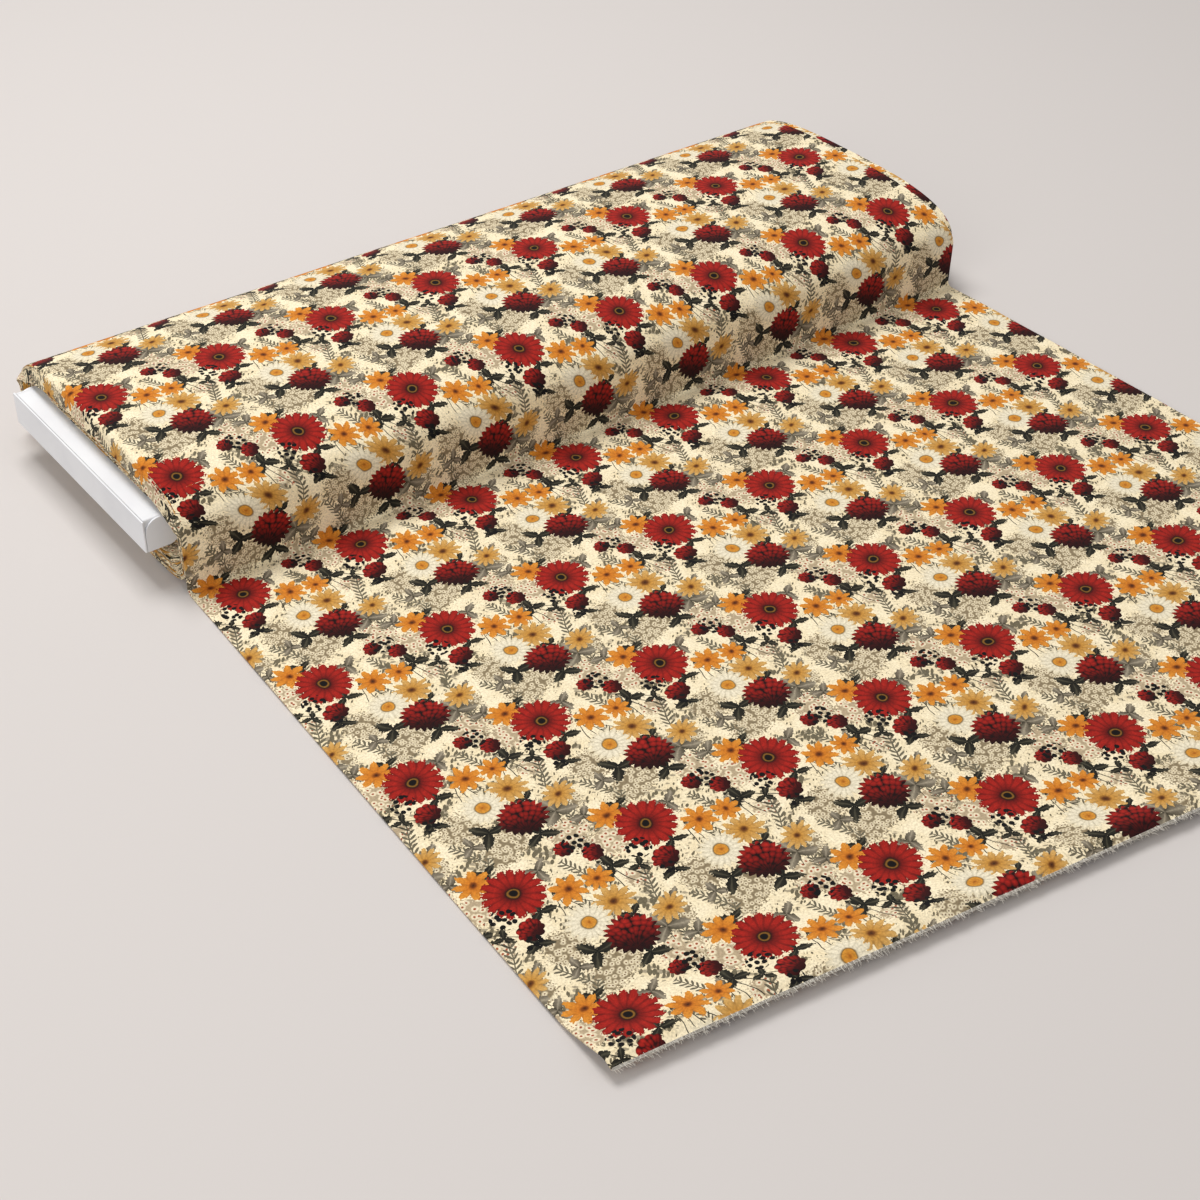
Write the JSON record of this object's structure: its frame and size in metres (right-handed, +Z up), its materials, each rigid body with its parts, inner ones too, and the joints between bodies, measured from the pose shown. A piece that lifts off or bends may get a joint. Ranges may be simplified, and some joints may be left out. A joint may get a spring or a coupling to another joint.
{
  "type": "fabric bolt",
  "caption": "Printed cotton wound on a flat folded-card bolt board, lying on its side with a doubled length drawn off in front.",
  "frame": {"origin": "centre of the bottom of the whole object's box, on the surface it lies on", "axes": "+X along the bolt from the cloth's folded edge to its selvedges, +Y from the drawn-off length towards the bolt, +Z up"},
  "size_m": [0.7682, 0.8726, 0.078],
  "materials": {
    "printed_cotton": "matte plain weave with a floral print",
    "cotton_wrong_side": "matte plain weave, unprinted",
    "white_card": "smooth white liner, matte",
    "brown_card": "raw brown board, matte"
  },
  "bodies": {
    "laid_cloth": {"laid_length": "printed_cotton"},
    "bolt": {"wound_pack": "cotton_wrong_side", "outer_turn": "printed_cotton"},
    "board": {"board_wrap": "white_card", "cross_rib_1": "brown_card", "cross_rib_2": "brown_card", "cross_rib_3": "brown_card", "cross_rib_4": "brown_card", "cross_rib_5": "brown_card", "cross_rib_6": "brown_card", "end_stiffener_left": "brown_card", "end_stiffener_right": "brown_card", "right_end_panel": "white_card", "right_front_tab": "white_card", "right_back_tab": "white_card"},
    "end_flap": {"left_end_panel": "white_card"},
    "front_tab": {"left_front_tab": "white_card"},
    "back_tab": {"left_back_tab": "white_card"}
  },
  "joints": [
    {"name": "bolt_turn", "type": "hinge", "parent": "laid_cloth", "child": "bolt", "pos_m": [0.00715, 0.17599, 0.0018], "axis": [1, 0, 0], "range_deg": [0, 90]},
    {"name": "board_slide", "type": "slide", "parent": "bolt", "child": "board", "axis": [-1, 0, 0], "range_m": [0, 0.75]},
    {"name": "flap_hinge", "type": "hinge", "parent": "board", "child": "end_flap", "pos_m": [-0.37635, 0.30629, 0.0517], "axis": [0, 1, 0], "range_deg": [0, 120]},
    {"name": "front_tab_fold", "type": "hinge", "parent": "end_flap", "child": "front_tab", "pos_m": [-0.37635, 0.20299, 0.0517], "axis": [0, 0, -1], "range_deg": [0, 90]},
    {"name": "back_tab_fold", "type": "hinge", "parent": "end_flap", "child": "back_tab", "pos_m": [-0.37635, 0.40959, 0.0517], "axis": [0, 0, 1], "range_deg": [0, 90]}
  ]
}
